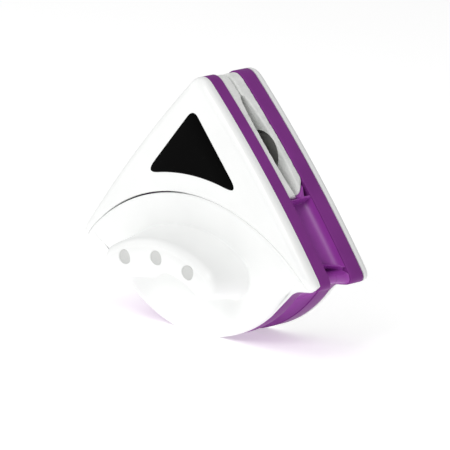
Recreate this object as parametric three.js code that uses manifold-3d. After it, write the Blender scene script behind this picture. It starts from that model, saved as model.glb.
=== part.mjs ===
// Magnetic glass cleaner: a hand unit with a crescent grip and an outer unit that magnets pull
// together across a pane. Both halves share one outline, a triangle with bowed sides whose base
// swells into a round bulge. X runs to the right, Y from the hand unit to the outer unit and Z up.
import * as THREE from "three";
import { mergeVertices } from "three/addons/utils/BufferGeometryUtils.js";
import Module from "manifold-3d";

const wasm = await Module();
wasm.setup();

// Driving dimensions of the shared outline, in mm. Z is 0 at the foot of the bulge.
const APEX_Z = 103.65; // where the two sides would meet
const CORNER_X = 65; // where a side would meet the corner's level
const CORNER_Z = 28.75;
const SIDE_BOW = 2.33; // how far a side bows out of its straight chord
const APEX_R = 5.8;
const CORNER_R = 2.8;
const CORNER_FOOT = [60, 27.4]; // a point of the sloping underside of a corner
const CORNER_FOOT_DEG = 8; // slope of that underside
const FLARE_R = 6; // hollow curve between a corner and the bulge
const BULGE_R = 58;
const FOOT_HALF = 8; // half the width of the flat under the bulge
const LEAST_R = 0.8; // smallest round left at a corner of an inset outline

// Depths, in mm, measured from the glass plane outwards on either half.
const GAP = 0.3; // clearance kept between pieces that touch
const BAND_T = 5.55; // where a tray's coloured band starts
const HAND_BAND = 5.7; // width of the hand tray's band
const OUTER_BAND = 6.9; // width of the outer tray's band
const FLOOR = 2; // thickness of a tray's floor
const TRAY_WALL = 2.4;
const FACE_T = 0.15; // where pads and wipers start, so that the closed halves clear each other
const SKIN = 2.2; // wall of a cover
const EDGE_R = 3.2; // round along the edge of a cover
const EDGE_FLAT = 1.3; // straight wall before that round
const COVER_EDGE = 4.5; // from the parting plane to the end of that round
const HAND_DOME = 2.2; // rise of the front cover's face from its edge to its middle
const OUTER_DOME = 3; // rise of the rear cover's face
const FACE_FLAT = 0.4; // share of a face, from its middle, that has risen fully

// Grip: a crescent that stands on the lower cover, ends lower than the middle.
const GRIP_LINE_R = 45; // radius of the crescent's centre line
const GRIP_MID_Z = 34.6; // height of the centre line at the middle
const GRIP_HALF_ANGLE = 0.55; // from the middle to the centre of an end, in radians
const GRIP_HALF_W = 6.55;
const GRIP_H = 25.5; // from the parting plane to the top of the grip
const GRIP_FLARE = 2.3; // how much wider the grip is at its root
const GRIP_WALL = 2.4;
const GRIP_ROOT = 4.6; // depth of the grip's root, inside the skin of the cover
const DOT_R = 3;
const DOT_DEEP = 1.2;
const DOTS = [
  ["left", [-17.2, 31.2]],
  ["middle", [0, 33.9]],
  ["right", [17.2, 31.2]],
];

// Seam between the upper cover and the grip cover, and the name plate above it.
const SEAM_R = 81;
const SEAM_Z = -25.3; // height of the seam's centre
const SEAM_W = 0.6;
const PLATE_APEX_Z = 89.75;
const PLATE_HALF_DEG = 40.7;
const PLATE_FOOT_R = 89.4; // underside of the plate, about the seam's centre
const PLATE_R = 1.8;
const PLATE_THICK = 1.6;
const PLATE_REST_T = 16.2; // depth of the plate's seat in the cover

// Magnets, yoke and screws.
const MAGNET_R = 9.5;
const MAGNET_THICK = 4.2;
const MAGNET_T = 5.2; // depth of a magnet's face behind the glass plane
const MAGNETS = { left: [-16.6, 71.25], right: [16.6, 71.25], lower: [0, 34] };
const YOKE_RIM = 8; // round of the yoke about each magnet
const YOKE_THICK = 2;
const SCREWS = { top: [0, 89.2], left: [-38, 37.6], right: [38, 37.6] };
const SHANK_R = 1.4;
const HEAD_R = 2.7;
const HEAD_H = 1.5;
const SHANK = 6;
const BOSS_R = 3.2;
const TRAY_POST_END = 9.55; // depth where a tray's post stops
const TRAY_POST_R = 4.7;
const COVER_POST_START = 9.9;
const HAND_POST_END = 15.5;
const OUTER_POST_END = 17.2;
const SCREW_HOLE_END = 14.4;

// Pads and wipers.
const PAD_INSET = 0.4;
const PAD_FOOT_R = 90; // round lower edge of both pads
const HAND_PAD_FOOT_Z = 50;
const OUTER_PAD_FOOT_Z = 52;
const FOAM_THICK = 1.8;
const FOAM_INSET = 3.4;
const DISH = [60, 2.7, 20]; // half sizes of the shallow dish between the two pads
const DISH_Z = 74;
const WIPER_INSET = 0.7;
const GROOVE_R = 5.3; // hollow flank along the sides and under the bulge
const GROOVE_TOP_Z = 58;
const GROOVE_END_Z = 36;
const BULGE_GROOVE_Z = 22.5; // where the hollow under the bulge stops

const COLOURS = {
  shell: [0xf6f7f6, 0.28, 0],
  purple: [0x7d3787, 0.5, 0],
  plate: [0x050505, 0.12, 0],
  dot: [0xc9cac9, 0.5, 0],
  pad: [0xe9ebe8, 0.95, 0],
  foam: [0xd8d9d6, 0.95, 0],
  magnet: [0x47484a, 0.4, 0.8],
  steel: [0xa9abad, 0.35, 1],
};
const materials = Object.fromEntries(
  Object.entries(COLOURS).map(([name, [color, roughness, metalness]]) => [
    name,
    new THREE.MeshStandardMaterial({ color, roughness, metalness }),
  ]),
);

// A closed geometry as a solid, and back.
function solid(geometry) {
  const bare = geometry.clone();
  bare.deleteAttribute("normal");
  bare.deleteAttribute("uv");
  const merged = mergeVertices(bare, 1e-4);
  return new wasm.Manifold(
    new wasm.Mesh({
      numProp: 3,
      vertProperties: merged.attributes.position.array,
      triVerts: new Uint32Array(merged.index.array),
    }),
  );
}

function geometryOf(made) {
  const mesh = made.getMesh();
  const geometry = new THREE.BufferGeometry();
  geometry.setAttribute("position", new THREE.BufferAttribute(mesh.vertProperties, 3));
  geometry.setIndex(new THREE.BufferAttribute(mesh.triVerts, 1));
  const flat = geometry.toNonIndexed();
  flat.computeVertexNormals();
  return flat;
}

// Points of an arc, both ends included.
function arc([cx, cz], r, from, to, steps) {
  return Array.from({ length: steps + 1 }, (_, i) => {
    const a = from + ((to - from) * i) / steps;
    return [cx + r * Math.cos(a), cz + r * Math.sin(a)];
  });
}

// The point on the line p + t dir that lies r from c, at the larger t.
function reach(p, dir, c, r) {
  const [dx, dz] = [p[0] - c[0], p[1] - c[1]];
  const b = dx * dir[0] + dz * dir[1];
  const t = -b + Math.sqrt(b * b - (dx * dx + dz * dz - r * r));
  return [p[0] + t * dir[0], p[1] + t * dir[1]];
}

const angleTo = (from, to) => Math.atan2(to[1] - from[1], to[0] - from[0]);
const step = (p, dir, t) => [p[0] + dir[0] * t, p[1] + dir[1] * t];

// The large circle that a side follows.
const chord = Math.hypot(CORNER_X, APEX_Z - CORNER_Z);
const sideR = (chord ** 2 / 4 + SIDE_BOW ** 2) / (2 * SIDE_BOW);
const sideOut = [(APEX_Z - CORNER_Z) / chord, CORNER_X / chord];
const sideC = step([CORNER_X / 2, (APEX_Z + CORNER_Z) / 2], sideOut, SIDE_BOW - sideR);
const slope = THREE.MathUtils.degToRad(CORNER_FOOT_DEG);
const footDir = [Math.cos(slope), Math.sin(slope)];
const footOut = [Math.sin(slope), -Math.cos(slope)];
const bulgeC = [0, Math.sqrt(BULGE_R ** 2 - FOOT_HALF ** 2)];
const flareC = reach(step(CORNER_FOOT, footOut, FLARE_R), footDir, bulgeC, BULGE_R + FLARE_R);
const seamC = [0, SEAM_Z];

// The right half of an outline drawn clockwise from the apex to a mirrored whole.
function mirrored(half) {
  const left = half
    .filter(([x]) => x > 1e-6)
    .map(([x, z]) => [-x, z])
    .reverse();
  return [...half, ...left];
}

// The shared outline moved inwards, as tangent arcs, always with the same number of points.
function outline(inset = 0) {
  const apexR = Math.max(APEX_R - inset, LEAST_R);
  const far = sideR - inset;
  const apexC = [0, sideC[1] + Math.sqrt((far - apexR) ** 2 - sideC[0] ** 2)];
  const apexEnd = angleTo(sideC, apexC);
  const cornerR = Math.max(CORNER_R - inset, LEAST_R);
  const line = step(CORNER_FOOT, footOut, -(inset + cornerR));
  const cornerC = reach(line, footDir, sideC, far - cornerR);
  const down = Math.atan2(footOut[1], footOut[0]);
  const bulge = BULGE_R - inset;
  return mirrored([
    ...arc(apexC, apexR, Math.PI / 2, apexEnd, 4),
    ...arc(sideC, far, apexEnd, angleTo(sideC, cornerC), 8).slice(1, -1),
    ...arc(cornerC, cornerR, angleTo(sideC, cornerC), down, 4),
    ...arc(flareC, FLARE_R + inset, down + Math.PI, angleTo(flareC, bulgeC), 3),
    ...arc(
      bulgeC,
      bulge,
      angleTo(bulgeC, flareC),
      -Math.asin((bulgeC[1] - inset) / bulge),
      10,
    ).slice(1),
  ]);
}

// The crescent of the grip, grown by grow all round.
function crescent(grow) {
  const centre = [0, GRIP_MID_Z - GRIP_LINE_R];
  const w = GRIP_HALF_W + grow;
  const top = Math.PI / 2;
  const end = top - GRIP_HALF_ANGLE;
  const endC = [
    centre[0] + GRIP_LINE_R * Math.cos(end),
    centre[1] + GRIP_LINE_R * Math.sin(end),
  ];
  return mirrored([
    ...arc(centre, GRIP_LINE_R + w, top, end, 7),
    ...arc(endC, w, end, end - Math.PI, 8).slice(1),
    ...arc(centre, GRIP_LINE_R - w, end, top, 5).slice(1),
  ]);
}

// The name plate: straight sides, and an underside that follows the seam.
function plateOutline(grow = 0) {
  const half = THREE.MathUtils.degToRad(PLATE_HALF_DEG);
  const apexC = [0, PLATE_APEX_Z - PLATE_R / Math.sin(half)];
  const up = [-Math.sin(half), Math.cos(half)];
  const cornerC = reach(apexC, up, seamC, PLATE_FOOT_R + PLATE_R);
  const toSeam = angleTo(cornerC, seamC);
  return mirrored([
    ...arc(apexC, PLATE_R + grow, Math.PI / 2, half, 4),
    ...arc(cornerC, PLATE_R + grow, half, toSeam, 6),
    ...arc(seamC, PLATE_FOOT_R - grow, toSeam + Math.PI, Math.PI / 2, 5).slice(1),
  ]);
}

// A rounded hull of three discs, for the yoke.
function hull(centres, r) {
  const turn = (a, b) => angleTo(a, b) + Math.PI / 2;
  return centres.flatMap((c, i) => {
    const before = turn(centres.at(i - 1), c);
    const after = turn(c, centres[(i + 1) % centres.length]);
    return arc(c, r, before, after > before ? after - 2 * Math.PI : after, 5);
  });
}

// Depths as heights of the part: each half counts outwards from the glass plane.
const outerCover = COVER_EDGE + OUTER_DOME;
const handDeep = BAND_T + HAND_BAND + GRIP_H;
const outerDeep = BAND_T + OUTER_BAND + outerCover;
const glassY = (handDeep - outerDeep) / 2;
const halves = {
  hand: { sign: -1, part: BAND_T + HAND_BAND, padFootZ: HAND_PAD_FOOT_Z, postEnd: HAND_POST_END },
  outer: { sign: 1, part: BAND_T + OUTER_BAND, padFootZ: OUTER_PAD_FOOT_Z, postEnd: OUTER_POST_END },
};
const yOf = (half, t) => glassY + half.sign * t;

// A lofted solid through rings of equally many points, each ring [points, y] with y rising.
function loft(rings) {
  const sorted = rings[0][1] > rings.at(-1)[1] ? [...rings].reverse() : rings;
  const n = sorted[0][0].length;
  const vertices = sorted.flatMap(([points, y]) => points.flatMap(([x, z]) => [x, y, z]));
  const faces = [];
  for (let k = 0; k + 1 < sorted.length; k++)
    for (let i = 0; i < n; i++) {
      const [a, b] = [k * n + i, k * n + ((i + 1) % n)];
      faces.push(a, b, b + n, a, b + n, a + n);
    }
  for (const [ring, front] of [[0, true], [sorted.length - 1, false]]) {
    const flat = sorted[ring][0].map(([x, z]) => new THREE.Vector2(x, z));
    for (const [a, b, c] of THREE.ShapeUtils.triangulateShape(flat, [])) {
      const [p, q, r] = [flat[a], flat[b], flat[c]];
      const anticlockwise = (q.x - p.x) * (r.y - p.y) - (q.y - p.y) * (r.x - p.x) > 0;
      const face = anticlockwise === front ? [a, b, c] : [a, c, b];
      faces.push(...face.map((v) => v + ring * n));
    }
  }
  const geometry = new THREE.BufferGeometry();
  geometry.setAttribute("position", new THREE.Float32BufferAttribute(vertices, 3));
  geometry.setIndex(faces);
  return solid(geometry);
}

const slab = (points, half, t0, t1) => loft([[points, yOf(half, t0)], [points, yOf(half, t1)]]);

// A round bar along Y.
function disc([x, z], r, half, t0, t1, segments = 32) {
  const geometry = new THREE.CylinderGeometry(r, r, Math.abs(t1 - t0), segments);
  geometry.translate(x, yOf(half, (t0 + t1) / 2), z);
  return solid(geometry);
}

const all = (solids) => solids.reduce((a, b) => a.add(b));
const scaled = (points, k, [cx, cz]) =>
  points.map(([x, z]) => [cx + (x - cx) * k, cz + (z - cz) * k]);

// Rings of a cover's outer skin, moved inwards by wall for its cavity.
function coverRings(half, dome, wall) {
  const mouth = wall ? half.part - 1 : half.part + GAP;
  const round = (a) => [
    outline(wall + (EDGE_R - wall) * (1 - Math.cos(a))),
    yOf(half, half.part + EDGE_FLAT + (COVER_EDGE - wall - EDGE_FLAT) * Math.sin(a)),
  ];
  const turns = [0, 0.25, 0.5, 0.75, 1].map((k) => round((k * Math.PI) / 2));
  const face = outline(EDGE_R);
  const middle = [0, 48];
  const rise = [0.85, 0.65, FACE_FLAT].map((k) => [
    scaled(face, k, middle),
    yOf(half, half.part + COVER_EDGE - wall + dome * (1 - ((k - FACE_FLAT) / (1 - FACE_FLAT)) ** 3)),
  ]);
  return [[outline(wall), yOf(half, mouth)], ...turns, ...rise];
}

const coverShell = (half, dome) =>
  loft(coverRings(half, dome, 0)).subtract(loft(coverRings(half, dome, SKIN)));

// Posts that take the screws, from a cover down to the tray's own posts.
const postsOf = (half, names) =>
  all(
    names.map((name) =>
      disc(SCREWS[name], BOSS_R, half, COVER_POST_START, half.postEnd, 16),
    ),
  );
const screwHoles = (half, names) =>
  all(names.map((name) => disc(SCREWS[name], SHANK_R + GAP, half, 0, SCREW_HOLE_END, 12)));

const nodes = [];
function add(name, made, material) {
  const mesh = new THREE.Mesh(geometryOf(made), materials[material]);
  mesh.name = name;
  nodes.push(mesh);
}

// The grip's body, or its hollow when it is shrunk by the wall: flared at the root, round at the top.
function gripSolid(wall, root) {
  const { part } = halves.hand;
  const ring = (grow, t) => [crescent(grow - wall), yOf(halves.hand, part + t)];
  const top = GRIP_H - wall;
  return loft([
    ring(GRIP_FLARE, root),
    ring(GRIP_FLARE * 0.6, 11),
    ring(0, top - 3.2),
    ring(-0.9, top - 0.9),
    ring(-3.2, top),
  ]);
}

// The hand unit's two covers come from one domed shell, parted by the seam.
function handCovers() {
  const half = halves.hand;
  const shell = coverShell(half, HAND_DOME);
  const deep = [half.part - 5, half.part + GRIP_H + 5];
  const inner = disc(seamC, SEAM_R - SEAM_W / 2, half, ...deep, 128);
  const outer = disc(seamC, SEAM_R + SEAM_W / 2, half, ...deep, 128);
  const upper = shell
    .subtract(outer)
    .add(slab(plateOutline(SKIN), half, PLATE_REST_T - SKIN, PLATE_REST_T + 0.5))
    .subtract(slab(plateOutline(GAP), half, PLATE_REST_T, PLATE_REST_T + 20))
    .add(postsOf(half, ["top"]))
    .subtract(screwHoles(half, ["top"]));
  add("hand_upper_cover", upper, "shell");

  const top = half.part + GRIP_H;
  const seats = all(
    DOTS.map(([, at]) => disc(at, DOT_R + GAP, half, top - DOT_DEEP - GAP, top + 5, 24)),
  );
  const lower = shell
    .intersect(inner)
    .add(gripSolid(0, GRIP_ROOT))
    .subtract(gripSolid(GRIP_WALL, GRIP_ROOT - SKIN))
    .add(postsOf(half, ["left", "right"]))
    .subtract(screwHoles(half, ["left", "right"]))
    .subtract(seats);
  add("hand_grip_cover", lower, "shell");
  for (const [name, at] of DOTS)
    add("grip_dot_" + name, disc(at, DOT_R, half, top - DOT_DEEP, top - 0.2, 24), "dot");
  const plate = slab(plateOutline(), half, PLATE_REST_T + GAP, PLATE_REST_T + GAP + PLATE_THICK);
  add("name_plate", plate, "plate");
}

function outerCoverNode() {
  const half = halves.outer;
  const names = Object.keys(SCREWS);
  const made = coverShell(half, OUTER_DOME)
    .add(postsOf(half, names))
    .subtract(screwHoles(half, names));
  add("outer_cover", made, "shell");
}

// A tray: a band that follows the outline, a floor on the glass side and posts for the screws.
function tray(half) {
  const posts = Object.values(SCREWS);
  const floorT = BAND_T + FLOOR;
  return slab(outline(), half, BAND_T, half.part)
    .subtract(slab(outline(TRAY_WALL), half, floorT, half.part + 1))
    .add(all(posts.map((at) => disc(at, TRAY_POST_R, half, BAND_T + 0.5, TRAY_POST_END, 20))))
    .subtract(all(posts.map((at) => disc(at, HEAD_R + GAP, half, 0, floorT, 16))))
    .subtract(screwHoles(half, Object.keys(SCREWS)))
    .subtract(
      all(Object.values(MAGNETS).map((at) => disc(at, MAGNET_R + GAP, half, 0, half.part))),
    );
}

// The upper side of a wiper follows the round lower edge of the pad.
const padDisc = (half, r) => disc([0, half.padFootZ + PAD_FOOT_R], r, half, 0, 12, 128);

// A straight bar of round section along the right or left side, in the glass plane.
function sideBar(side) {
  const at = (z) => sideC[0] + Math.sqrt(sideR ** 2 - (z - sideC[1]) ** 2);
  const low = new THREE.Vector3(side * at(GROOVE_END_Z), glassY, GROOVE_END_Z);
  const high = new THREE.Vector3(side * at(GROOVE_TOP_Z), glassY, GROOVE_TOP_Z);
  const bar = new THREE.CylinderGeometry(GROOVE_R, GROOVE_R, low.distanceTo(high), 24);
  const along = high.clone().sub(low).normalize();
  bar.applyQuaternion(
    new THREE.Quaternion().setFromUnitVectors(new THREE.Vector3(0, 1, 0), along),
  );
  bar.translate(...low.add(high).multiplyScalar(0.5).toArray());
  return solid(bar);
}

// A ring of round section that hollows the flank under the bulge, from flare to flare.
function bulgeRing() {
  const section = arc([BULGE_R + 1, 0], GROOVE_R, 0, 2 * Math.PI, 20).map(
    ([x, y]) => new THREE.Vector2(x, y),
  );
  section[20] = section[0].clone();
  const ring = new THREE.LatheGeometry(section, 96);
  ring.translate(0, glassY, bulgeC[1]);
  const below = slab(
    [[-60, -10], [-60, BULGE_GROOVE_Z], [60, BULGE_GROOVE_Z], [60, -10]],
    halves.outer,
    -12,
    12,
  );
  return solid(ring).intersect(below);
}

function wiper(half) {
  const pocket = disc(MAGNETS.lower, MAGNET_R + GAP, half, MAGNET_T - GAP, BAND_T);
  return slab(outline(WIPER_INSET), half, FACE_T, BAND_T - GAP)
    .subtract(padDisc(half, PAD_FOOT_R + GAP))
    .subtract(sideBar(1))
    .subtract(sideBar(-1))
    .subtract(bulgeRing())
    .subtract(pocket);
}

// A pad: a cleaning face over foam, open over its two magnets and dished between the halves.
function pad(half) {
  const seen = ["left", "right"].map((name) => MAGNETS[name]);
  const ball = new THREE.SphereGeometry(1, 32, 20);
  ball.scale(...DISH);
  ball.translate(0, glassY, DISH_Z);
  const bed = slab(outline(FOAM_INSET), half, BAND_T - GAP - FOAM_THICK, BAND_T + 1).intersect(
    padDisc(half, PAD_FOOT_R - FOAM_INSET + PAD_INSET),
  );
  return slab(outline(PAD_INSET), half, FACE_T, BAND_T - GAP)
    .intersect(padDisc(half, PAD_FOOT_R))
    .subtract(bed)
    .subtract(solid(ball))
    .subtract(all(seen.map((at) => disc(at, MAGNET_R + GAP, half, 0, BAND_T))));
}

function foam(half) {
  const seen = ["left", "right"].map((name) => MAGNETS[name]);
  return slab(outline(FOAM_INSET + GAP), half, BAND_T - FOAM_THICK, BAND_T - GAP)
    .intersect(padDisc(half, PAD_FOOT_R - FOAM_INSET + PAD_INSET - GAP))
    .subtract(all(seen.map((at) => disc(at, MAGNET_R + GAP, half, 0, BAND_T))));
}

function screw(half, [x, z]) {
  const head = BAND_T + GAP;
  const profile = [
    [0, head],
    [HEAD_R, head],
    [HEAD_R, head + HEAD_H - 0.3],
    [SHANK_R, head + HEAD_H],
    [SHANK_R, head + HEAD_H + SHANK - 1.5],
    [0, head + HEAD_H + SHANK],
  ];
  const points = profile.map(([r, t]) => new THREE.Vector2(r, half.sign * t));
  const turned = new THREE.LatheGeometry(half.sign > 0 ? points : points.reverse(), 12);
  turned.translate(x, glassY, z);
  return solid(turned);
}

handCovers();
outerCoverNode();
for (const [name, half] of Object.entries(halves)) {
  add(name + "_tray", tray(half), "purple");
  add(name + "_wiper", wiper(half), "purple");
  add(name + "_pad", pad(half), "pad");
  add(name + "_pad_foam", foam(half), "foam");
  const yokeT = MAGNET_T + MAGNET_THICK + GAP;
  const yokeAt = [MAGNETS.right, MAGNETS.lower, MAGNETS.left];
  add(name + "_yoke", slab(hull(yokeAt, YOKE_RIM), half, yokeT, yokeT + YOKE_THICK), "steel");
  for (const [place, at] of Object.entries(MAGNETS)) {
    const magnet = disc(at, MAGNET_R, half, MAGNET_T, MAGNET_T + MAGNET_THICK);
    add(name + "_magnet_" + place, magnet, "magnet");
  }
  for (const [place, at] of Object.entries(SCREWS))
    add(name + "_screw_" + place, screw(half, at), "steel");
}

const cleaner = new THREE.Group();
cleaner.add(...nodes);
export default cleaner;
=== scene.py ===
"""Magnetic glass cleaner: a hand unit with a crescent grip and an outer unit, closed on each other.

Both halves share one outline, a triangle with bowed sides over a round bulge, given by inward().
Shapes are worked out in millimetres in the part's frame and put into meshes in metres.
Depths are counted outwards from the glass plane, towards -Y on the hand unit and +Y on the outer.
"""

import bmesh
import bpy
import numpy as np
from mathutils import Matrix, Vector


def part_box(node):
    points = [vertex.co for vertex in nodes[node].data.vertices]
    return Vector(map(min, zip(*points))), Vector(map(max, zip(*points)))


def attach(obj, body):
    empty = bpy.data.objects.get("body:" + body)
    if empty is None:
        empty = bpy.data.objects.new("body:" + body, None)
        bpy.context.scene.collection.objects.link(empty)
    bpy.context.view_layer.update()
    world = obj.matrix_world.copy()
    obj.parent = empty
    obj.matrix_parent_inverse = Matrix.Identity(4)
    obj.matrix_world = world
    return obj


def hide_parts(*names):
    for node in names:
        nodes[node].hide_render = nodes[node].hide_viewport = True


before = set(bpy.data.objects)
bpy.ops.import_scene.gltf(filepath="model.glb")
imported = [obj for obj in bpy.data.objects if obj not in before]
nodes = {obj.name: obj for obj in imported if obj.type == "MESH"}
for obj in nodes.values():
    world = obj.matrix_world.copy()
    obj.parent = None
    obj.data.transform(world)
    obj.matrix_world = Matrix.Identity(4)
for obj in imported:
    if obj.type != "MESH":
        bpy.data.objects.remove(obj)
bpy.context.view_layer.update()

MM = 0.001


def span(node):
    """Lowest and highest corner of a CAD node, in mm."""
    return [np.array(corner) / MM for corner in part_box(node)]


# Planes across the depth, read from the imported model.
HAND_PART = span("hand_tray")[0][1]
HAND_BAND = span("hand_tray")[1][1]
OUTER_BAND = span("outer_tray")[0][1]
OUTER_PART = span("outer_tray")[1][1]
GLASS = (HAND_BAND + OUTER_BAND) / 2
BAND_T = (OUTER_BAND - HAND_BAND) / 2
PART_T = {"hand": GLASS - HAND_PART, "outer": OUTER_PART - GLASS}
FACE_T = GLASS - span("hand_pad")[1][1]
GRIP_TOP_T = GLASS - span("hand_grip_cover")[0][1]
BACK_T = span("outer_cover")[1][1] - GLASS
GAP = 0.3  # clearance kept between neighbours
WAY = {"hand": -1, "outer": 1}  # direction along Y in which a unit's depth grows
BODY = {"hand": "hand_unit", "outer": "outer_unit"}

# The shared outline.
APEX_Z = 103.65  # where the two sides would meet
CORNER = np.array([65.0, 28.75])  # where a side would meet the corner's level
SIDE_BOW = 2.33
FOOT = np.array([60.0, 27.4])  # a point of the sloping underside of a corner
FOOT_SLOPE = np.radians(8)
BULGE_R = 58.0
BULGE_FLAT = 8.0  # half the width of the flat under the bulge
BULGE_Z = np.sqrt(BULGE_R**2 - BULGE_FLAT**2)
APEX_SOFT = 6.5  # widths over which two borders of the outline blend
CORNER_SOFT = 5.0
FLARE_SOFT = 5.0
FLAT_SOFT = 0.6
LOOP_CENTRE = np.array([0.0, 38.0])
LOOP_POINTS = 720

# Covers and the seam between the two hand covers.
SKIN = 2.2
EDGE_R = 3.2
EDGE_FLAT = 1.3
COVER_EDGE = 4.5  # height of a cover where its round edge ends
FACE_START = 0.6 * EDGE_R  # distance from the outline at which a face starts to rise
FACE_RISE = 16.0  # width over which a face rises to its full height
HAND_DOME = 2.2
OUTER_DOME = BACK_T - PART_T["outer"] - COVER_EDGE
SEAM_R = 81.0
SEAM_Z = -25.3
SEAM_W = 0.6
SEAM_HAIRLINE = 0.06  # width of the seam away from where it gapes
SEAM_ROUND = 0.8
SEAM_GAPE = np.radians(108)  # direction from the seam's centre where it gapes most
SEAM_GAPE_REACH = np.radians(26)
SEAM_TIP = 0.008  # angle by which the covers' fan stops short of the outline

# Grip and its three inserts.
GRIP_LINE_R = 45.0
GRIP_MID_Z = 34.6
GRIP_HALF_ANGLE = 0.55
GRIP_HALF_W = 6.55
GRIP_FILLET = 0.9
GRIP_DRAFT = 2.2
GRIP_EDGE = 3.6
GRIP_CROWN = 0.5
DOT_R = np.array([3.15, 2.8])  # half sizes of the slightly oval inserts
DOT_THICK = 1.2
DOT_SUNK = 0.3  # rim of an insert below the grip's top
DOT_DISH = 0.45

# Name plate.
PLATE_APEX_Z = 89.75
PLATE_HALF = np.radians(40.7)
PLATE_FOOT_R = 88.8
PLATE_SOFT = 4.6
PLATE_CENTRE = np.array([0.0, 72.0])
PLATE_PROUD = 0.28
PLATE_BEVEL = (0.5, 0.3)  # width and height
PLATE_ROOT = -1.0

# Trays and magnets.
TRAY_WALL = 2.4
TRAY_FLOOR = 2.0
TRAY_ROUND = 0.35
MAGNET_R = (span("hand_magnet_left")[1][0] - span("hand_magnet_left")[0][0]) / 2
MAGNET_T = span("outer_magnet_left")[0][1] - GLASS
MAGNET_BACK = span("outer_magnet_left")[1][1] - GLASS
MAGNET_CHAMFER = 0.5

# Cleaning pads.
PAD_CENTRE = np.array([0.0, 71.0])
PAD_BACK = BAND_T - GAP
PAD_FOOT_R = 90.0
PAD_FOOT_Z = {"hand": 49.4, "outer": 50.0}
PAD_FOOT_SLANT = {"hand": 0.0, "outer": 1.1}  # rise of the foot for each mm away from the glass
PAD_SOFT = 2.5
PAD_INSET = 0.4
PAD_ROUND = 1.0
DISH = np.array([60.0, 2.7, 20.0])  # half sizes of the hollow in a pad's face
DISH_Z = 74.0
NAP = 0.17  # distance by which the pile's surface wanders

# Wipers.
WIPER_CENTRE = np.array([0.0, 25.0])
WIPER_INSET = 0.3
WIPER_FACE_T = 0.05
WIPER_SOFT = 0.5
GROOVE_DEEP = 5.4
GROOVE_SPAN = (37.2, 58.7)  # heights between which the flank is hollowed
GROOVE_TILT = 0.27  # fall of the groove's foot for each mm towards the outer unit
LEDGE_Z = 32.3
BULGE_GROOVE_Z = 24.0
BULGE_GROOVE_DEEP = 4.4
# A wiper's face from its rim inwards, as share of the way out and depth below the rim: two blades.
BLADES = (
    (0.995, 0.0), (0.97, 0.0), (0.955, 0.9), (0.945, 0.9),
    (0.92, 0.0), (0.905, 0.0), (0.895, 0.5), (0.6, 0.5), (0.3, 0.5),
)


# ---- the outline as a field -------------------------------------------------------------------


def smooth_min(a, b, soft):
    """The smaller of two fields, rounded where they differ by less than soft."""
    h = np.maximum(soft - np.abs(a - b), 0) / soft
    return np.minimum(a, b) - h * h * soft / 4


def smooth_max(a, b, soft):
    """The larger of two fields, rounded in the same way."""
    return -smooth_min(-a, -b, soft)


def ramp(v, low, high):
    """0 below low, 1 above high and a smooth S between them."""
    k = np.clip((v - low) / (high - low), 0, 1)
    return k * k * (3 - 2 * k)


def half_round(v, centre, width):
    """A half ellipse: 1 at the centre and 0 from width on to either side."""
    return np.sqrt(1 - np.clip((v - centre) / width, -1, 1) ** 2)


def ray(angle):
    """Unit vectors (x, z) at the given angles."""
    return np.stack([np.cos(angle), np.sin(angle)], -1)


def turns(count):
    """Evenly spaced angles of a whole turn."""
    return np.linspace(0, 2 * np.pi, count, endpoint=False)


def side_circle():
    """Centre and radius of the large circle through the apex and the corner that a side follows."""
    apex = np.array([0, APEX_Z])
    along = CORNER - apex
    length = np.hypot(*along)
    radius = (length**2 / 4 + SIDE_BOW**2) / (2 * SIDE_BOW)
    out = np.array([-along[1], along[0]]) / length
    return (apex + CORNER) / 2 + out * (SIDE_BOW - radius), radius


SIDE_C, SIDE_R = side_circle()


def inward(x, z):
    """Depth inside the outline, in mm: 0 on it and growing inwards.

    It is the least of the depths inside the two side circles and above the underside, and the
    underside is the higher of the bulge's disc and the two sloping corner lines."""
    right = SIDE_R - np.hypot(x - SIDE_C[0], z - SIDE_C[1])
    left = SIDE_R - np.hypot(x + SIDE_C[0], z - SIDE_C[1])
    foot = (z - FOOT[1]) * np.cos(FOOT_SLOPE) - (np.abs(x) - FOOT[0]) * np.sin(FOOT_SLOPE)
    bulge = smooth_min(BULGE_R - np.hypot(x, z - BULGE_Z), z, FLAT_SOFT)
    under = smooth_max(foot, bulge, FLARE_SOFT)
    return smooth_min(smooth_min(right, left, APEX_SOFT), under, CORNER_SOFT)


def root(field, near, far, steps=48):
    """For each ray, the place between near (field positive) and far (negative) where it is 0."""
    near, far = np.broadcast_arrays(near, far)
    near, far = near.astype(float), far.astype(float)
    for _ in range(steps):
        middle = (near + far) / 2
        inside = field(middle) > 0
        near, far = np.where(inside, middle, near), np.where(inside, far, middle)
    return (near + far) / 2


def loop_where(field, centre, rays, far):
    """The loop of (x, z) points, one on each ray from centre, at which a field falls to 0."""

    def along(r):
        p = centre + r[:, None] * rays
        return field(p[:, 0], p[:, 1])

    r = root(along, np.zeros(len(rays)), np.full(len(rays), far))
    return centre + r[:, None] * rays


def outline_rays():
    """Directions round the outline, closer together at the corners and the flares."""
    even = turns(LOOP_POINTS)
    return ray(even + 0.10 * np.sin(2 * even) - 0.03 * np.sin(4 * even))


OUTLINE_RAYS = outline_rays()


def outline(level):
    """Closed loop of (x, z) at one depth inside the outline."""
    return loop_where(lambda x, z: inward(x, z) - level, LOOP_CENTRE, OUTLINE_RAYS, 90.0)


# ---- meshes -----------------------------------------------------------------------------------


def quads(rows, cols):
    """Quads between neighbours of a rows x cols grid whose last column meets the first."""
    r = np.arange(rows - 1)[:, None]
    c = np.arange(cols)[None, :]
    a, b = r * cols + c, r * cols + (c + 1) % cols
    return np.stack([a, b, b + cols, a + cols], -1).reshape(-1, 4)


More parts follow.
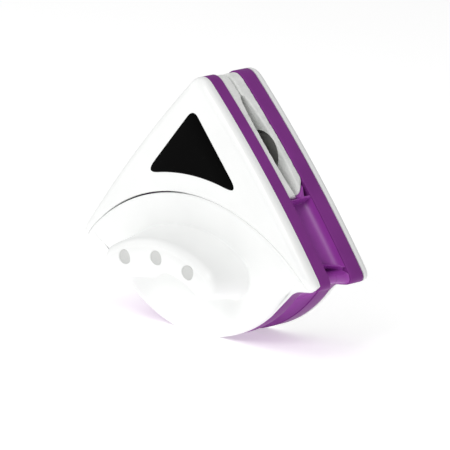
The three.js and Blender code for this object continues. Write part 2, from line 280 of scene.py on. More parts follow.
def volume(points, faces):
    """Signed volume of a closed mesh, from the tetrahedra between its faces and the origin."""
    a = points[faces[:, 0]]
    total = 0.0
    for i in range(1, faces.shape[1] - 1):
        total += np.einsum("ij,ij->i", a, np.cross(points[faces[:, i]], points[faces[:, i + 1]])).sum()
    return total / 6


def weld(mesh):
    """Joins points that coincide, where a ring has shrunk to a line or a pole."""
    work = bmesh.new()
    work.from_mesh(mesh)
    bmesh.ops.remove_doubles(work, verts=work.verts, dist=1e-7)
    bmesh.ops.dissolve_degenerate(work, edges=work.edges, dist=1e-8)
    work.to_mesh(mesh)
    work.free()


def piece(name, parts, smooth_deg=35):
    """A mesh object from closed (points, face arrays) parts, in mm, with faces pointing out."""
    points, faces, start = [], [], 0
    for part_points, part_faces in parts:
        part_faces = [f for f in part_faces if len(f)]
        if sum(volume(part_points, f) for f in part_faces) < 0:
            part_faces = [f[:, ::-1] for f in part_faces]
        faces += [row for f in part_faces for row in (f + start).tolist()]
        points.append(part_points)
        start += len(part_points)
    mesh = bpy.data.meshes.new(name)
    mesh.from_pydata((np.concatenate(points) * MM).tolist(), [], faces)
    weld(mesh)
    mesh.set_sharp_from_angle(angle=np.radians(smooth_deg))
    mesh.polygons.foreach_set("use_smooth", [True] * len(mesh.polygons))
    made = bpy.data.objects.new(name, mesh)
    bpy.context.scene.collection.objects.link(made)
    return made


def rings_part(rings, first, last):
    """A closed surface through equal rings that ends in the pole points first and last."""
    count, n = rings.shape[:2]
    points = rings.reshape(-1, 3)
    column = np.arange(n)
    top = np.stack([np.full(n, len(points)), (column + 1) % n, column], -1)
    base = (count - 1) * n
    bottom = np.stack([np.full(n, len(points) + 1), base + column, base + (column + 1) % n], -1)
    return np.concatenate([points, [first, last]]), [quads(count, n), top, bottom]


def tube_part(loops):
    """A closed surface through equal closed loops, with a flat face over each end."""
    count, n = loops.shape[:2]
    order = np.arange(n)[None, :]
    return loops.reshape(-1, 3), [quads(count, n), order[:, ::-1], order + (count - 1) * n]


def at_depth(flat, t, unit):
    """(x, z) points lifted to (x, y, z) at depth t on one unit."""
    t = np.broadcast_to(t, flat.shape[:-1])
    return np.stack([flat[..., 0], GLASS + WAY[unit] * t, flat[..., 1]], -1)


def apply_modifiers(target):
    """Replaces an object's mesh by what its modifiers make of it."""
    graph = bpy.context.evaluated_depsgraph_get()
    finished = bpy.data.meshes.new_from_object(target.evaluated_get(graph))
    finished.name = target.name
    target.modifiers.clear()
    target.data = finished


def cut_round_holes(target, unit, centres, radius, *depths):
    """Cuts holes along Y between two depths; radius is one number, or a pair along X and Z."""
    circle = radius * ray(turns(96))
    depths = sorted(depths, key=lambda t: WAY[unit] * t)
    parts = []
    for centre in centres:
        rings = np.stack([at_depth(circle + centre, t, unit) for t in depths])
        parts.append(rings_part(rings, *(at_depth(centre, t, unit) for t in depths)))
    cutter = piece("cutter", parts)
    modifier = target.modifiers.new("holes", "BOOLEAN")
    modifier.object = cutter
    modifier.operation = "DIFFERENCE"
    modifier.solver = "EXACT"
    apply_modifiers(target)
    bpy.data.objects.remove(cutter)


def place(target, unit, slot, material, *stands_for):
    """Gives a finished piece its body, its material and the CAD nodes it replaces; slot is not used."""
    target.data.materials.clear()
    target.data.materials.append(material)
    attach(target, BODY[unit])
    if stands_for:
        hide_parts(*stands_for)


# ---- covers and name plate --------------------------------------------------------------------


def cover_height(x, z, dome, under=0.0):
    """Height of a cover's skin above its parting plane, or of its inside at under mm below.

    A straight edge, a quarter ellipse over the first EDGE_R mm inwards from the outline, then a
    face that rises by dome over FACE_RISE mm along a quarter sine."""
    d = np.maximum(inward(x, z) - under, 0)
    k = np.clip(d / EDGE_R, 0, 1)
    edge = EDGE_FLAT + (COVER_EDGE - EDGE_FLAT) * np.sqrt(1 - (1 - k) ** 2)
    return edge + dome * np.sin(np.pi / 2 * np.clip((d - FACE_START) / FACE_RISE, 0, 1)) - under


def hand_face(flat):
    """Depth of the hand covers' skin at (x, z) points."""
    return PART_T["hand"] + cover_height(flat[..., 0], flat[..., 1], HAND_DOME)


def tip_angle(seam):
    """Angle about the seam's centre at which the seam leaves the outline on the right."""

    def field(a):
        return inward(seam * np.cos(a), SEAM_Z + seam * np.sin(a))

    return root(field, np.array([np.pi / 2]), np.array([0.5]))[0]


def seam_width(angle):
    """Width of the gap along the seam: it gapes left of the middle and closes to a hairline."""
    near = 1 - np.abs(angle - SEAM_GAPE) / SEAM_GAPE_REACH
    return SEAM_HAIRLINE + (SEAM_W - SEAM_HAIRLINE) * ramp(near, 0, 0.7)


def seam_sheet(upper):
    """One of the two hand covers, on the fan of rays about the seam's centre.

    Along a ray the sheet runs from the outline's rim to the seam. Its height is cover_height, and
    the last SEAM_ROUND mm fall by a quarter circle to the seam's edge. The inside follows SKIN mm
    below, and the two are joined at the rim, at the seam and at both tips."""
    way = 0.5 if upper else -0.5
    tip = tip_angle(SEAM_R + way * SEAM_W) + SEAM_TIP
    side = np.linspace(-1, 1, 420)
    angle = np.pi / 2 + (np.pi / 2 - tip) * np.sin(side * np.pi / 2)
    seam = SEAM_R + way * seam_width(angle)
    rays = ray(angle)

    def field(r):
        return inward(r * rays[:, 0], SEAM_Z + r * rays[:, 1])

    rim = root(field, seam, np.full(len(angle), SEAM_R + 60.0 if upper else 5.0))
    k = np.linspace(0, 1, 100)[:, None]
    r = rim + (seam - rim) * k * k * (3 - 2 * k)
    flat = np.stack([r * rays[:, 0], SEAM_Z + r * rays[:, 1]], -1)
    x, z = flat[..., 0], flat[..., 1]
    to_seam = np.minimum(np.abs(r - seam), SEAM_ROUND)
    drop = SEAM_ROUND - np.sqrt(SEAM_ROUND**2 - (SEAM_ROUND - to_seam) ** 2)
    outside = cover_height(x, z, HAND_DOME) - drop
    inside = np.clip(cover_height(x, z, HAND_DOME, SKIN), GAP, outside - 0.05)
    skin = at_depth(flat, PART_T["hand"] + outside, "hand")
    back = at_depth(flat, PART_T["hand"] + inside, "hand")
    return tube_part(np.concatenate([skin, back[::-1]]).transpose(1, 0, 2))


def crescent(grow):
    """The grip's outline: an arc of half width w round GRIP_LINE_R, with half-round ends."""
    w = GRIP_HALF_W + grow
    centre = np.array([0, GRIP_MID_Z - GRIP_LINE_R])
    turn = np.linspace(np.pi / 2 - GRIP_HALF_ANGLE, np.pi / 2 + GRIP_HALF_ANGLE, 90)
    out = ray(turn)
    half = np.linspace(0, np.pi, 50)[1:-1]
    left = centre + GRIP_LINE_R * out[-1] + w * ray(turn[-1] + half)
    right = centre + GRIP_LINE_R * out[0] + w * ray(turn[0] + np.pi + half)
    top, bottom = centre + (GRIP_LINE_R + w) * out, centre + (GRIP_LINE_R - w) * out[::-1]
    return np.concatenate([top, left, bottom, right])


def grip_part():
    """The crescent's solid: a fillet that leaves the cover's face flat, a drafted wall, a quarter
    round at the top and a slightly crowned top that closes on the crescent's centre line."""
    turn = np.linspace(0, np.pi / 2, 14)
    wide = GRIP_DRAFT + GRIP_FILLET * (1 - np.sin(turn))
    fillet = [(grow, rise, 0) for grow, rise in zip(wide, GRIP_FILLET * (1 - np.cos(turn)))]
    wall = [(GRIP_DRAFT * (1 - v), GRIP_FILLET, v) for v in np.linspace(0, 1, 12)[1:]]
    edge_t = GRIP_TOP_T - GRIP_CROWN - GRIP_EDGE
    deep = PART_T["hand"] + COVER_EDGE - SKIN + 1.0
    loops = [at_depth(crescent(grow), deep, "hand") for grow in (-GRIP_HALF_W, GRIP_DRAFT + GRIP_FILLET)]
    for grow, rise, v in fillet + wall:
        flat = crescent(grow)
        low = hand_face(flat) + rise - 0.02
        loops.append(at_depth(flat, low + v * (edge_t - low), "hand"))
    for a in turn[1:]:
        flat = crescent(-GRIP_EDGE * (1 - np.cos(a)))
        loops.append(at_depth(flat, edge_t + GRIP_EDGE * np.sin(a), "hand"))
    for k in np.linspace(0, 1, 9)[1:]:
        flat = crescent(-GRIP_EDGE - (GRIP_HALF_W - GRIP_EDGE) * k)
        loops.append(at_depth(flat, GRIP_TOP_T - GRIP_CROWN * (1 - k) ** 2, "hand"))
    return np.concatenate(loops), [quads(len(loops), len(loops[0]))]


def middles(*names):
    """The (x, z) middles of some CAD nodes."""
    spans = [span(name) for name in names]
    return [(low[[0, 2]] + high[[0, 2]]) / 2 for low, high in spans]


def dot_centres():
    """Where the three inserts sit in the grip."""
    return middles("grip_dot_left", "grip_dot_middle", "grip_dot_right")


def grip_cover():
    """The lower cover with its crescent grip, one moulding, with three seats for the dots."""
    made = piece("grip_cover_skin", [seam_sheet(False), grip_part()])
    seat = GRIP_TOP_T - DOT_SUNK - DOT_THICK
    cut_round_holes(made, "hand", dot_centres(), DOT_R + 0.05, GRIP_TOP_T + 2, seat)
    return made


def grip_dot(name, centre):
    """A round insert, dished: a disc whose face sinks by a shallow paraboloid from its rim."""
    circle = ray(turns(72))
    rim = GRIP_TOP_T - DOT_SUNK
    path = [(0.98, rim - DOT_THICK), (1.0, rim - 0.12), (0.96, rim)]
    path += [(k, rim - DOT_DISH * (1 - k * k)) for k in np.linspace(0.92, 0.08, 12)]
    rings = np.array([at_depth(centre + DOT_R * k * circle, t, "hand") for k, t in path])
    ends = [at_depth(centre, t, "hand") for t in (rim - DOT_THICK, rim - DOT_DISH)]
    return piece(name, [rings_part(rings, *ends)])


def plate_inward(x, z):
    """Depth inside the plate's outline: below both straight sides and outside the seam's circle."""
    reach = (PLATE_APEX_Z - z) * np.sin(PLATE_HALF)
    sides = [reach - sign * x * np.cos(PLATE_HALF) for sign in (1, -1)]
    below = np.hypot(x, z - SEAM_Z) - PLATE_FOOT_R
    return smooth_min(smooth_min(*sides, PLATE_SOFT), below, PLATE_SOFT)


def name_plate():
    """The black inlay: its outline shrunk in rings over a small bevel, following the cover's face."""
    rays = ray(turns(480))
    width, height = PLATE_BEVEL

    def loop(level):
        return loop_where(lambda x, z: plate_inward(x, z) - level, PLATE_CENTRE, rays, 40.0)

    def on_face(flat, rise):
        return at_depth(flat, hand_face(flat) + rise, "hand")

    rings = [on_face(loop(0), PLATE_ROOT)]
    for a in np.linspace(0, np.pi / 2, 7):
        rings.append(on_face(loop(width * (1 - np.cos(a))), PLATE_PROUD - height * (1 - np.sin(a))))
    inner = loop(width)
    for k in np.linspace(0.95, 0.05, 20):
        rings.append(on_face(PLATE_CENTRE + (inner - PLATE_CENTRE) * k, PLATE_PROUD))
    ends = [on_face(PLATE_CENTRE, rise) for rise in (PLATE_ROOT, PLATE_PROUD)]
    return piece("name_plate_inlay", [rings_part(np.array(rings), *ends)], smooth_deg=50)


def outer_cover():
    """The outer unit's cover: rings at growing depth inside the outline, each at cover_height, from
    the parting plane over the round edge to the middle of the back, then back SKIN mm below."""
    part = PART_T["outer"]
    edge = EDGE_R * (1 - np.cos(np.linspace(0, np.pi / 2, 24)))
    face = EDGE_R + (FACE_START + FACE_RISE - EDGE_R) * np.linspace(0, 1, 12)[1:]
    levels = np.concatenate([edge, face])

    def skin(level, under, k=1.0):
        flat = outline(level)
        t = part + cover_height(flat[:, 0], flat[:, 1], OUTER_DOME, under)
        return at_depth(LOOP_CENTRE + (flat - LOOP_CENTRE) * k, t, "outer")

    def sheet(lip, steps, under):
        middle = [skin(levels[-1], under, k) for k in (0.8, 0.5, 0.2)]
        rim = at_depth(outline(lip), part + GAP, "outer")
        return [rim] + [skin(level, under) for level in steps] + middle

    outside = sheet(0, levels, 0)
    inside = sheet(SKIN, levels[levels > SKIN + 0.1], SKIN)
    ends = [at_depth(LOOP_CENTRE, part + COVER_EDGE + OUTER_DOME - under, "outer") for under in (SKIN, 0)]
    return piece("outer_cover_skin", [rings_part(np.array(inside[::-1] + outside), *ends)])


# ---- trays and magnets ------------------------------------------------------------------------


def magnet_centres(unit):
    """Where a unit's left, right and lower magnet sit."""
    return middles(*(f"{unit}_magnet_{side}" for side in ("left", "right", "lower")))


def tray(unit):
    """A tray: rings over the floor's glass side, round the band's two edges, and back over the wall
    and the floor's inside."""
    part = PART_T[unit]
    turn = np.linspace(0, np.pi / 2, 6)
    corner = TRAY_ROUND * (1 - np.sin(turn))
    lift = TRAY_ROUND * (1 - np.cos(turn))
    path = [(level, BAND_T + t) for level, t in zip(corner, lift)]
    path += [(level, part - t) for level, t in zip(corner[::-1], lift[::-1])]
    inside = BAND_T + TRAY_FLOOR
    path += [(TRAY_WALL, part), (TRAY_WALL, inside), (2 * TRAY_WALL, inside)]
    rings = [at_depth(outline(level), t, unit) for level, t in path]
    ends = [at_depth(LOOP_CENTRE, t, unit) for t in (BAND_T, inside)]
    made = piece(unit + "_tray_band", [rings_part(np.array(rings), *ends)])
    cut_round_holes(made, unit, magnet_centres(unit), MAGNET_R + GAP, BAND_T - 1, inside + 1)
    return made


def magnet(unit, side, centre):
    """A disc magnet with a turned chamfer on both edges."""
    small = MAGNET_R - MAGNET_CHAMFER
    path = [(small, MAGNET_T), (MAGNET_R, MAGNET_T + MAGNET_CHAMFER)]
    path += [(MAGNET_R, MAGNET_BACK - MAGNET_CHAMFER), (small, MAGNET_BACK)]
    rings = np.array([at_depth(centre + r * ray(turns(96)), t, unit) for r, t in path])
    ends = [at_depth(centre, t, unit) for t in (MAGNET_T, MAGNET_BACK)]
    return piece(f"{unit}_magnet_disc_{side}", [rings_part(rings, *ends)])


# ---- wipers and pads --------------------------------------------------------------------------


def pad_disc(unit, x, z, t):
    """Depth inside the circle that rounds a pad's lower edge, at depth t from the glass."""
    foot = PAD_FOOT_Z[unit] + PAD_FOOT_SLANT[unit] * t
    return PAD_FOOT_R - np.hypot(x, z - foot - PAD_FOOT_R)


def flank_hollow(v, z):
    """How deep the closed wipers' flank is hollowed at height z, v mm from the glass plane.

    Along the sides it is a half round that meets both trays. Its foot ends in a low ridge, an
    undercut that deepens downwards, and a ledge; below the ledge the flank is nearly full. Under
    the bulge runs a shallower half round that fades out towards the flares."""
    low, high = GROOVE_SPAN[0] - GROOVE_TILT * (v + 5), GROOVE_SPAN[1]
    cove = GROOVE_DEEP * half_round(v, -0.2, 5.4)
    ridge = 0.55 + 0.45 * ramp(z, low, low + 0.7)
    side = cove * ridge * (1 - ramp(z, high - 0.25, high + 0.1))
    corner = half_round(v, -2.0, 7.2)
    down = np.clip((low - z) / (low - LEDGE_Z), 0, 1)
    undercut = np.interp(down, (0, 0.5, 1), (0.55, 0.9, 0)) * GROOVE_DEEP
    flank = np.where(z > low, side, undercut * half_round(v, -0.6, 6.4) + corner * down)
    fade = 1 - ramp(z, BULGE_GROOVE_Z - 9, BULGE_GROOVE_Z)
    under = BULGE_GROOVE_DEEP * half_round(v, -0.6, 5.8) * fade
    return np.where(z > BULGE_GROOVE_Z + 2, flank, np.maximum(corner * ramp(z, 22, 26), under))


def web_pocket(unit, z, t):
    """Depth of the small three-cornered hollow in the outer wiper's web below the pad."""
    if unit == "hand":
        return 0 * z
    slant = np.clip((t - 2.2 - (z - 59.4) * 0.6) / 0.4, 0, 1)
    return 4.2 * slant * ramp(z, 59.3, 59.5) * (1 - ramp(z, 64.4, 65.0))


def wiper_rays():
    """Directions about the wiper's centre, close together at the groove's ledges and its web."""
    close = np.concatenate([np.linspace(0.12, 0.25, 110), np.linspace(0.60, 0.80, 90)])
    even = np.linspace(-np.pi / 2, 3 * np.pi / 2, 721)[:-1]
    return ray(np.unique(np.concatenate([even, close, np.pi - close])))


def wiper(unit):
    """A wiper: rings at growing depth from the glass, whose outline is hollowed by flank_hollow,
    closed by a face with two shallow grooves that leave its blades standing along the edge."""
    rays = wiper_rays()
    back = BAND_T - GAP

    def edge(x, z):
        return inward(x, z) - WIPER_INSET

    rim_z = loop_where(edge, WIPER_CENTRE, rays, 80.0)[:, 1]

    def loop(t):
        hollow = np.maximum(flank_hollow(WAY[unit] * t, rim_z), web_pocket(unit, rim_z, t))

        def field(x, z):
            return smooth_min(edge(x, z) - hollow, -pad_disc(unit, x, z, t) - GAP, WIPER_SOFT)

        return loop_where(field, WIPER_CENTRE, rays, 80.0)

    rim = loop(WIPER_FACE_T)
    face = [
        at_depth(WIPER_CENTRE + (rim - WIPER_CENTRE) * k, WIPER_FACE_T + deep, unit)
        for k, deep in BLADES[::-1]
    ]
    depths = WIPER_FACE_T + (back - WIPER_FACE_T) * np.linspace(0, 1, 30)
    flank = [at_depth(loop(t), t, unit) for t in depths]
    ends = [at_depth(WIPER_CENTRE, t, unit) for t in (WIPER_FACE_T + BLADES[-1][1], back)]
    made = piece(unit + "_wiper_rubber", [rings_part(np.array(face + flank), *ends)], smooth_deg=32)
    lower = magnet_centres(unit)[2:]
    cut_round_holes(made, unit, lower, MAGNET_R + GAP, MAGNET_T - GAP, BAND_T + 1)
    return made


def nap(rows, count):
    """A smooth random field of unit size on a grid that wraps round its columns."""
    grid = np.random.default_rng(5).normal(size=(rows, count))
    for _ in range(2):
        grid = (grid + np.roll(grid, 1, 1) + np.roll(grid, -1, 1)) / 3
        grid[1:-1] = (grid[:-2] + grid[1:-1] + grid[2:]) / 3
    return grid / np.abs(grid).max()


def pad_dish(flat):
    """Depth of the shallow ellipsoid hollow in a pad's face."""
    far = (flat[..., 0] / DISH[0]) ** 2 + ((flat[..., 1] - DISH_Z) / DISH[2]) ** 2
    return DISH[1] * np.sqrt(np.clip(1 - far, 0, 1))


def pad(unit):
    """A cleaning pad: a pillow of short pile, dished towards the middle, with round edges and two
    round wells over the magnets. Its surface carries a fine uneven nap."""
    rays = ray(turns(620))

    def loop(level, t):
        def field(x, z):
            rim = inward(x, z) - PAD_INSET
            return smooth_min(rim, pad_disc(unit, x, z, t), PAD_SOFT) - level

        return loop_where(field, PAD_CENTRE, rays, 70.0)

    rows = [(loop(0.0, t), t) for t in np.linspace(PAD_BACK, FACE_T + PAD_ROUND, 8)[:-1]]
    for a in np.linspace(0, np.pi / 2, 9):
        t = FACE_T + PAD_ROUND * (1 - np.sin(a))
        rows.append((loop(PAD_ROUND * (1 - np.cos(a)), t), t))
    inner = rows[-1][0]
    rows += [(PAD_CENTRE + (inner - PAD_CENTRE) * k, FACE_T) for k in 1 - np.linspace(0, 1, 75)[1:-1]]
    rings = []
    for (flat, t), rough in zip(rows, nap(len(rows), len(rays))):
        sink = NAP * (rough + 1)
        away = (flat - PAD_CENTRE) / np.hypot(*(flat - PAD_CENTRE).T)[:, None]
        depth = t + pad_dish(flat) * (PAD_BACK - t) / (PAD_BACK - FACE_T) + sink * (t < PAD_BACK)
        rings.append(at_depth(flat - away * sink[:, None], np.minimum(depth, PAD_BACK), unit))
    ends = [at_depth(PAD_CENTRE, t, unit) for t in (PAD_BACK, FACE_T + float(pad_dish(PAD_CENTRE)))]
    made = piece(unit + "_pad_cloth", [rings_part(np.array(rings), *ends)], smooth_deg=60)
    cut_round_holes(made, unit, magnet_centres(unit)[:2], MAGNET_R + GAP, -1, BAND_T + 1)
    return made


# ---- materials --------------------------------------------------------------------------------


def linear(code):
    """An sRGB hex colour as the linear RGBA that shaders take."""
    rgb = np.array([int(code[i : i + 2], 16) for i in (1, 3, 5)]) / 255
    low, high = rgb / 12.92, ((rgb + 0.055) / 1.055) ** 2.4
    return (*np.where(rgb <= 0.04045, low, high).tolist(), 1.0)


def add_node(tree, kind, links, feeds, blend=(), **settings):
    """Adds a shader node and returns it.

    settings are its inputs by name, links the sockets that feed its inputs, and feeds the sockets
    that its first output feeds. blend gives the two hex colours of a colour ramp."""
    made = tree.nodes.new(kind)
    for key, value in settings.items():
        made.inputs[key.replace("_", " ")].default_value = value
    for key, socket in links.items():
        tree.links.new(socket, made.inputs[key])
    for socket in feeds:
        tree.links.new(made.outputs[0], socket)
    for i, code in enumerate(blend):
        made.color_ramp.elements[i].position = (0.3, 0.7)[i]
        made.color_ramp.elements[i].color = linear(code)
    return made


def new_material(name, colour, roughness, **sockets):
    """A principled material; sockets are set on the shader itself. Also gives its node tree, the
    shader's inputs and the Object coordinates that its patterns read."""
    material = bpy.data.materials.new(name)
    material.use_nodes = True
    tree = material.node_tree
    inputs = tree.nodes["Principled BSDF"].inputs
    inputs["Base Color"].default_value = linear(colour)
    inputs["Roughness"].default_value = roughness
    for key, value in sockets.items():
        inputs[key.replace("_", " ")].default_value = value
    coordinates = tree.nodes.new("ShaderNodeTexCoord").outputs["Object"]
    return material, tree, inputs, {"Vector": coordinates}


NOISE = "ShaderNodeTexNoise"
BUMP = "ShaderNodeBump"
RANGE = "ShaderNodeMapRange"
COLOURS = "ShaderNodeValToRGB"


def moulded_white_abs():
    """White ABS from a polished mould: an even near-white with a soft gloss, whose highlights are
    broken very slightly by flow over 18 mm and by a fine satin grain of 0.5 mm."""
    white, tree, abs_in, at = new_material("moulded_white_abs", "#F8F9F8", 0.3, IOR=1.54)
    flow = add_node(tree, NOISE, at, [], Scale=1 / (18 * MM), Detail=2).outputs["Fac"]
    grain = add_node(tree, NOISE, at, [], Scale=1 / (0.5 * MM), Detail=3).outputs["Fac"]
    add_node(tree, RANGE, {"Value": flow}, [abs_in["Roughness"]], To_Min=0.26, To_Max=0.36)
    add_node(tree, COLOURS, {"Fac": flow}, [abs_in["Base Color"]], blend=("#F6F7F6", "#FAFBFA"))
    add_node(tree, BUMP, {"Height": grain}, [abs_in["Normal"]], Strength=0.12, Distance=0.02 * MM)
    return white


def moulded_purple_abs():
    """Purple ABS with a fine spark-eroded texture of 0.35 mm: satin, and a little lighter in bands
    of flow about 14 mm wide."""
    purple, tree, abs_in, at = new_material(
        "moulded_purple_abs", "#7F2A88", 0.5, IOR=1.54, Specular_IOR_Level=0.15
    )
    flow = add_node(tree, NOISE, at, [], Scale=1 / (14 * MM), Detail=2).outputs["Fac"]
    grain = add_node(tree, NOISE, at, [], Scale=1 / (0.35 * MM), Detail=4, Roughness=0.6).outputs["Fac"]
    add_node(tree, RANGE, {"Value": grain}, [abs_in["Roughness"]], To_Min=0.36, To_Max=0.5)
    add_node(tree, COLOURS, {"Fac": flow}, [abs_in["Base Color"]], blend=("#7C2F84", "#84348C"))
    add_node(tree, BUMP, {"Height": grain}, [abs_in["Normal"]], Strength=0.25, Distance=0.03 * MM)
    return purple


def soft_purple_rubber():
    """Purple thermoplastic rubber: lighter than the trays, with a soft, broad sheen."""
    rubber, tree, rubber_in, at = new_material(
        "soft_purple_rubber", "#9A3BA4", 0.34, IOR=1.5, Specular_IOR_Level=0.5
    )
    flow = add_node(tree, NOISE, at, [], Scale=1 / (9 * MM), Detail=2).outputs["Fac"]
    grain = add_node(tree, NOISE, at, [], Scale=1 / (0.6 * MM), Detail=4, Roughness=0.6).outputs["Fac"]
    add_node(tree, RANGE, {"Value": grain}, [rubber_in["Roughness"]], To_Min=0.3, To_Max=0.42)
    add_node(tree, COLOURS, {"Fac": flow}, [rubber_in["Base Color"]], blend=("#9639A0", "#9E3FA9"))
    add_node(tree, BUMP, {"Height": grain}, [rubber_in["Normal"]], Strength=0.3, Distance=0.04 * MM)
    return rubber


def matte_black_acrylic():
    """A black acrylic inlay with an etched, nearly reflection-free face."""
    black, tree, acrylic_in, at = new_material(
        "matte_black_acrylic", "#040404", 0.3, IOR=1.49, Specular_IOR_Level=0.02
    )
    haze = add_node(tree, NOISE, at, [], Scale=1 / (6 * MM), Detail=3).outputs["Fac"]
    add_node(tree, RANGE, {"Value": haze}, [acrylic_in["Roughness"]], To_Min=0.26, To_Max=0.38)
    return black


def satin_grey_insert():
    """Light grey moulded ABS with a satin grain of 0.3 mm."""
    grey, tree, abs_in, at = new_material("satin_grey_insert", "#CFD0CE", 0.45, IOR=1.54)
    grain = add_node(tree, NOISE, at, [], Scale=1 / (0.3 * MM), Detail=3).outputs["Fac"]
    add_node(tree, COLOURS, {"Fac": grain}, [abs_in["Base Color"]], blend=("#CBCCCA", "#D3D4D2"))
    add_node(tree, BUMP, {"Height": grain}, [abs_in["Normal"]], Strength=0.2, Distance=0.02 * MM)
    return grey


def white_microfibre():
    """White split-fibre cloth: a short dense nap that scatters light and shades softly in tufts
    about 0.8 mm across, drawn a little coarser than the fibres so that it shows."""
    cloth, tree, nap_in, at = new_material(
        "white_microfibre", "#E9EBE8", 0.95, Sheen_Weight=0.4, Sheen_Roughness=0.6, Specular_IOR_Level=0.2
    )
    tufts = add_node(tree, NOISE, at, [], Scale=1 / (0.8 * MM), Detail=5, Roughness=0.65).outputs["Fac"]
    patches = add_node(tree, NOISE, at, [], Scale=1 / (5 * MM), Detail=2).outputs["Fac"]
    add_node(tree, COLOURS, {"Fac": patches}, [nap_in["Base Color"]], blend=("#E2E4E1", "#EFF0EE"))
    add_node(tree, BUMP, {"Height": tufts}, [nap_in["Normal"]], Strength=0.6, Distance=0.35 * MM)
    return cloth


def foam_backing():
    """Open light grey foam behind a pad, with cells about a millimetre across."""
    foam, tree, foam_in, at = new_material("foam_backing", "#D6D7D4", 0.95)
    cells = add_node(tree, "ShaderNodeTexVoronoi", at, [], Scale=1 / (1.0 * MM)).outputs["Distance"]
    add_node(tree, BUMP, {"Height": cells}, [foam_in["Normal"]], Strength=0.6, Distance=0.3 * MM)
    return foam


def ferrite():
    """Pressed ferrite: a dark, dry grey with a faint grain of 0.4 mm and a dull metallic shine."""
    disc_grey, tree, ferrite_in, at = new_material("ferrite", "#8C8C8A", 0.5, Metallic=0.2)
    grain = add_node(tree, NOISE, at, [], Scale=1 / (0.4 * MM), Detail=5, Roughness=0.7).outputs["Fac"]
    add_node(tree, COLOURS, {"Fac": grain}, [ferrite_in["Base Color"]], blend=("#868684", "#92928F"))
    add_node(tree, RANGE, {"Value": grain}, [ferrite_in["Roughness"]], To_Min=0.42, To_Max=0.6)
    add_node(tree, BUMP, {"Height": grain}, [ferrite_in["Normal"]], Strength=0.3, Distance=0.03 * MM)
    return disc_grey


def zinc_plated_steel():
    """Zinc-plated steel: a bright bluish grey metal, faintly blotched over 3 mm by the plating."""
    zinc, tree, steel_in, at = new_material("zinc_plated_steel", "#B4B8BC", 0.35, Metallic=1.0)
    blotch = add_node(tree, NOISE, at, [], Scale=1 / (3 * MM), Detail=4).outputs["Fac"]
    add_node(tree, RANGE, {"Value": blotch}, [steel_in["Roughness"]], To_Min=0.28, To_Max=0.45)
    return zinc


WHITE = moulded_white_abs()
PURPLE = moulded_purple_abs()
RUBBER = soft_purple_rubber()
BLACK = matte_black_acrylic()
GREY = satin_grey_insert()
CLOTH = white_microfibre()
FOAM = foam_backing()
MAGNET = ferrite()
STEEL = zinc_plated_steel()


# ---- the cleaner ------------------------------------------------------------------------------

upper = piece("upper_cover_skin", [seam_sheet(True)])
place(upper, "hand", "white_shell", WHITE, "hand_upper_cover")
place(grip_cover(), "hand", "white_shell", WHITE, "hand_grip_cover")
place(name_plate(), "hand", "name_plate", BLACK, "name_plate")
for side, dot_at in zip(("left", "middle", "right"), dot_centres()):
    dot_name = "grip_dot_" + side
    place(grip_dot(dot_name + "_insert", dot_at), "hand", "grip_dot", GREY, dot_name)
place(outer_cover(), "outer", "white_shell", WHITE, "outer_cover")

# Pieces that stay as the CAD has them, out of sight inside a unit.
INSIDE = {"pad_foam": FOAM, "yoke": STEEL, "screw_top": STEEL, "screw_left": STEEL, "screw_right": STEEL}
for unit in ("hand", "outer"):
    place(tray(unit), unit, "purple_tray", PURPLE, unit + "_tray")
    place(wiper(unit), unit, "purple_wiper", RUBBER, unit + "_wiper")
    cloth = pad(unit)
    place(cloth, unit, "pad_fabric", CLOTH, unit + "_pad")
    for side, disc_at in zip(("left", "right", "lower"), magnet_centres(unit)):
        place(magnet(unit, side, disc_at), unit, "magnet", MAGNET, f"{unit}_magnet_{side}")
    for name, material in INSIDE.items():
        mesh = nodes[f"{unit}_{name}"].data
        mesh.materials.clear()
        mesh.materials.append(material)


# ---- floor, light and camera ------------------------------------------------------------------

WHITE_LIGHT = linear("#FFFFFF")
FLOOR_HALF = 6.0  # metres
AIM = (0, 0, 0.05)  # what the lights face, in metres


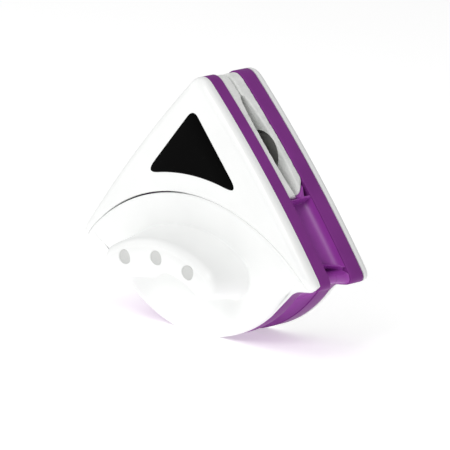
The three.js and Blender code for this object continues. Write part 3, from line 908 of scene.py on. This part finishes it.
def floor():
    """A plain pale sheet that the cleaner stands on, lit evenly from below like a light table."""
    mesh = bpy.data.meshes.new("floor")
    corners = [(-1, -1), (1, -1), (1, 1), (-1, 1)]
    mesh.from_pydata([(x * FLOOR_HALF, y * FLOOR_HALF, 0) for x, y in corners], [], [(0, 1, 2, 3)])
    made = bpy.data.objects.new("floor", mesh)
    bpy.context.scene.collection.objects.link(made)
    glow = {"Emission_Color": WHITE_LIGHT, "Emission_Strength": 0.47}
    mesh.materials.append(new_material("pale_floor", "#F2F2F2", 0.9, Specular_IOR_Level=0.0, **glow)[0])


def soft_box(name, at, size, watts):
    """A square area light at a place in metres that faces the cleaner."""
    data = bpy.data.lights.new(name, "AREA")
    data.size = size
    data.energy = watts
    made = bpy.data.objects.new(name, data)
    made.location = at
    made.rotation_euler = (Vector(AIM) - Vector(at)).to_track_quat("-Z", "Y").to_euler()
    bpy.context.scene.collection.objects.link(made)


def camera():
    """A long lens two metres away, turned to the right of the hand unit and a little above it."""
    turn, lift, roll = np.radians([44.6181, 13.6581, 0.8323])
    back = np.array([np.sin(turn) * np.cos(lift), -np.cos(turn) * np.cos(lift), np.sin(lift)])
    level = np.array([np.cos(turn), np.sin(turn), 0.0])
    upright = np.cross(back, level)
    right = level * np.cos(roll) + upright * np.sin(roll)
    up = upright * np.cos(roll) - level * np.sin(roll)
    aim = np.array([0.0, HAND_PART + 15.0, APEX_Z - 45.0]) - right * 2.244 - up * 17.783
    axes = np.stack([right, up, back, (aim + back * 2000.0) * MM], -1)
    data = bpy.data.cameras.new("camera")
    data.sensor_width = 36.0
    data.lens = 412.886
    data.clip_end = 100.0
    made = bpy.data.objects.new("camera", data)
    made.matrix_world = Matrix([*axes.tolist(), [0, 0, 0, 1]])
    bpy.context.scene.collection.objects.link(made)
    bpy.context.scene.camera = made


def studio():
    """An even white room, shown without a film curve."""
    world = bpy.data.worlds.new("studio")
    world.use_nodes = True
    background = world.node_tree.nodes["Background"].inputs
    background["Color"].default_value = WHITE_LIGHT
    background["Strength"].default_value = 0.4
    bpy.context.scene.world = world
    bpy.context.scene.view_settings.view_transform = "Standard"


floor()
camera()
soft_box("key", (0.25, -1.05, 0.8), 0.5, 4.9)
soft_box("side", (-0.9, -0.3, 0.5), 0.6, 0.9)
soft_box("top", (0.0, -0.3, 1.1), 0.9, 2.5)
studio()
